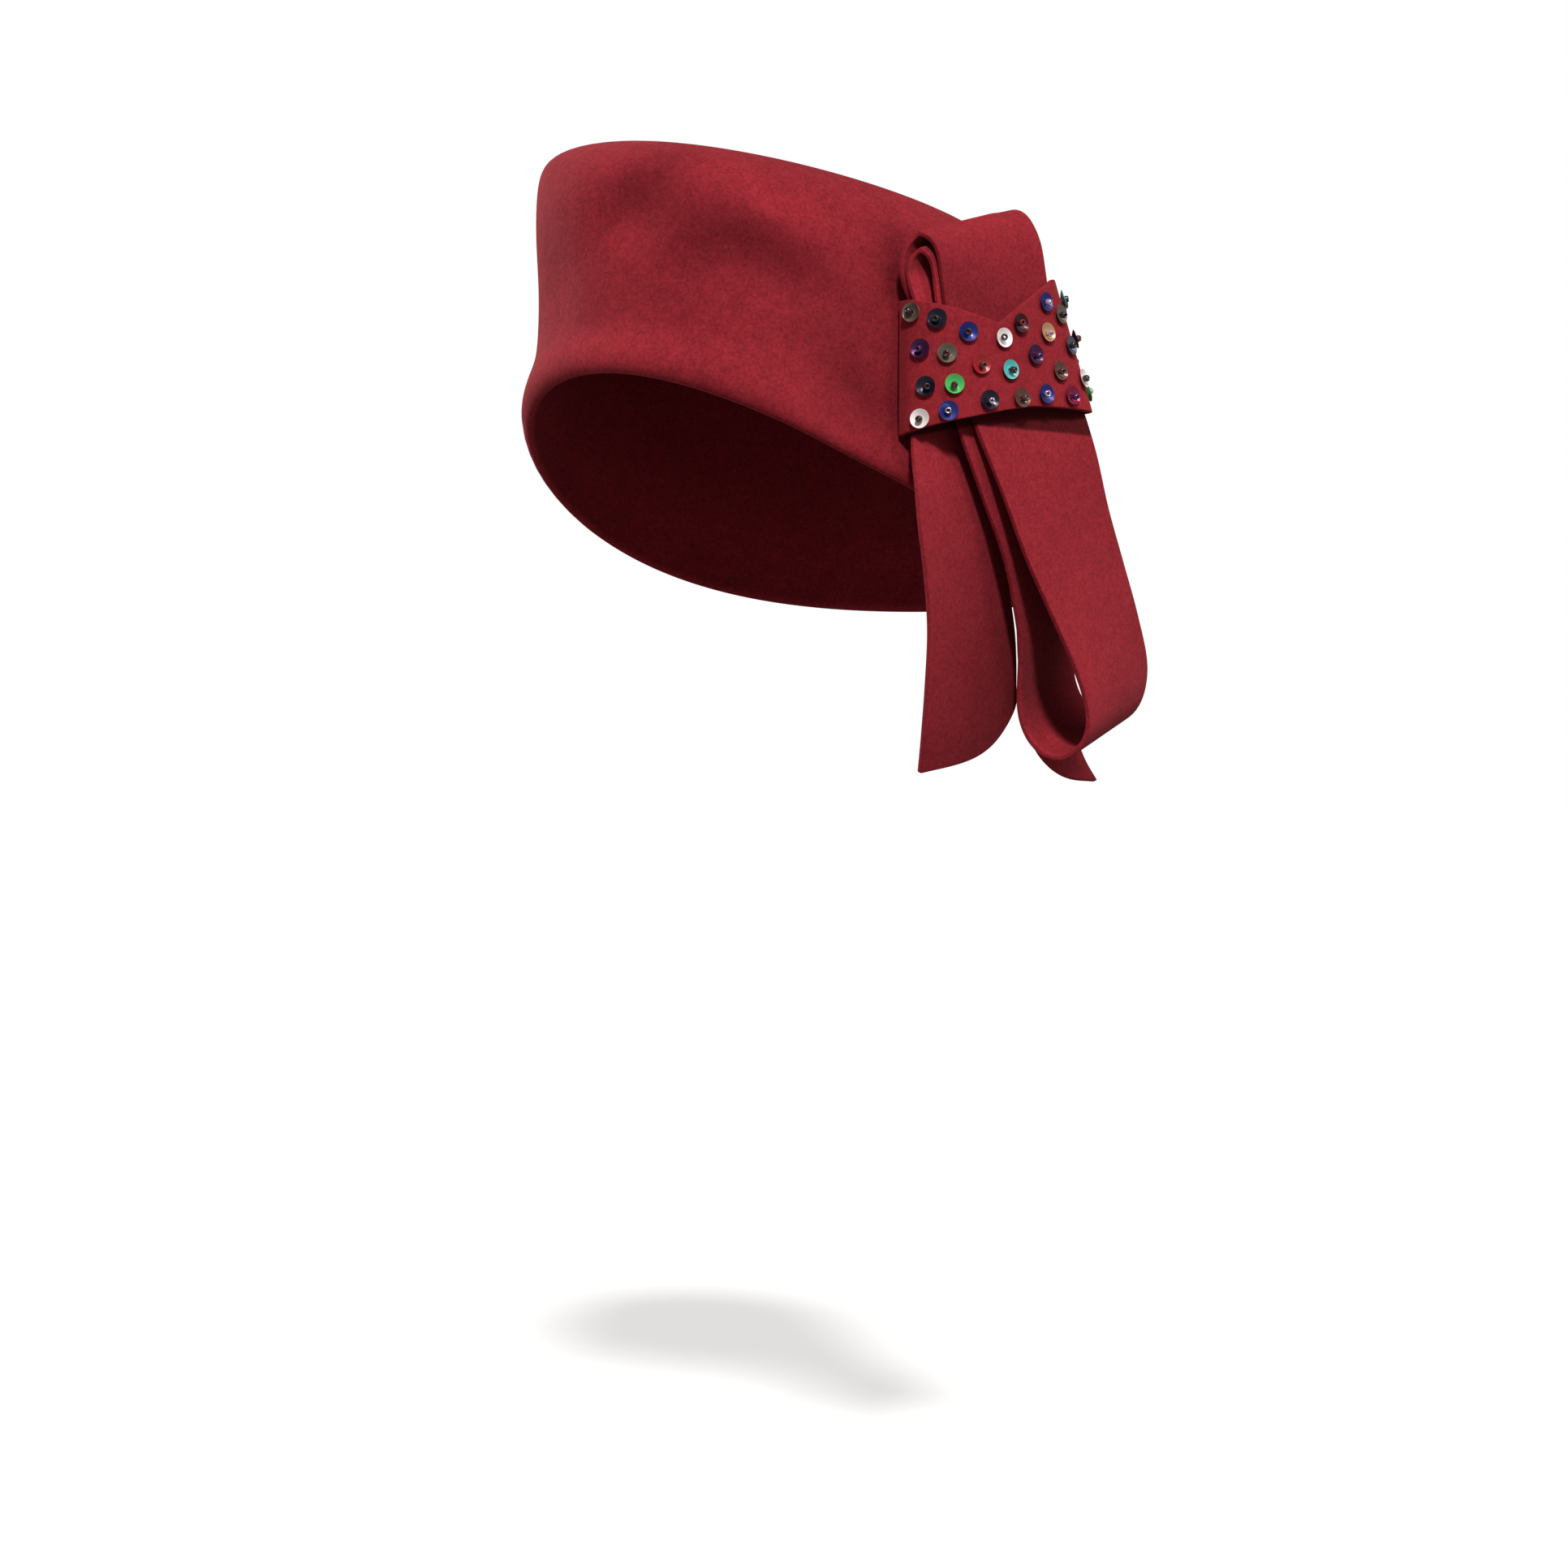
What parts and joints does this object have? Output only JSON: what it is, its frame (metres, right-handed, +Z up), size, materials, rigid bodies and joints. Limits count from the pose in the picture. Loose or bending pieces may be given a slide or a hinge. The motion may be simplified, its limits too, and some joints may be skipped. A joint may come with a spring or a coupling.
{
  "type": "toque hat",
  "caption": "Brimless wool-felt toque with a tall oval crown, oblique turned rim and a side bow of felt straps held by a sequinned felt band.",
  "frame": {"origin": "middle of the head opening, at the level of the rim's middle height, where the hat sits on the head", "axes": "+Z up through the crown, -Y towards the face, +X towards the wearer's left, where the bow is"},
  "size_m": [0.193, 0.1893, 0.2084],
  "materials": {
    "crown_felt": "matt wool felt",
    "strap_felt": "matt wool felt",
    "band_felt": "matt wool felt",
    "sequin_olive": "glossy cupped film",
    "sequin_night": "glossy cupped film",
    "sequin_cobalt": "glossy cupped film",
    "sequin_violet": "glossy cupped film",
    "sequin_ruby": "glossy cupped film",
    "sequin_emerald": "glossy cupped film",
    "sequin_pearl": "glossy cupped film",
    "sequin_garnet": "glossy cupped film",
    "sequin_gold": "glossy cupped film",
    "sequin_turquoise": "glossy cupped film",
    "sequin_taupe": "glossy cupped film",
    "sequin_steel": "glossy cupped film",
    "sequin_magenta": "glossy cupped film"
  },
  "bodies": {
    "root": {"crown": "crown_felt", "front_tail": "strap_felt", "rear_tail": "strap_felt", "hanging_loop": "strap_felt", "outer_loop": "strap_felt", "inner_loop": "strap_felt", "sequin_band": "band_felt", "sequin_01": "sequin_olive", "sequin_02": "sequin_night", "sequin_03": "sequin_cobalt", "sequin_04": "sequin_violet", "sequin_05": "sequin_olive", "sequin_06": "sequin_ruby", "sequin_07": "sequin_night", "sequin_08": "sequin_emerald", "sequin_09": "sequin_night", "sequin_10": "sequin_pearl", "sequin_11": "sequin_cobalt", "sequin_12": "sequin_pearl", "sequin_13": "sequin_garnet", "sequin_14": "sequin_cobalt", "sequin_15": "sequin_olive", "sequin_16": "sequin_gold", "sequin_17": "sequin_violet", "sequin_18": "sequin_turquoise", "sequin_19": "sequin_taupe", "sequin_20": "sequin_steel", "sequin_21": "sequin_pearl", "sequin_22": "sequin_taupe", "sequin_23": "sequin_cobalt", "sequin_24": "sequin_magenta", "sequin_25": "sequin_turquoise", "sequin_26": "sequin_night", "sequin_27": "sequin_emerald", "sequin_28": "sequin_gold", "sequin_29": "sequin_violet"}
  },
  "joints": []
}
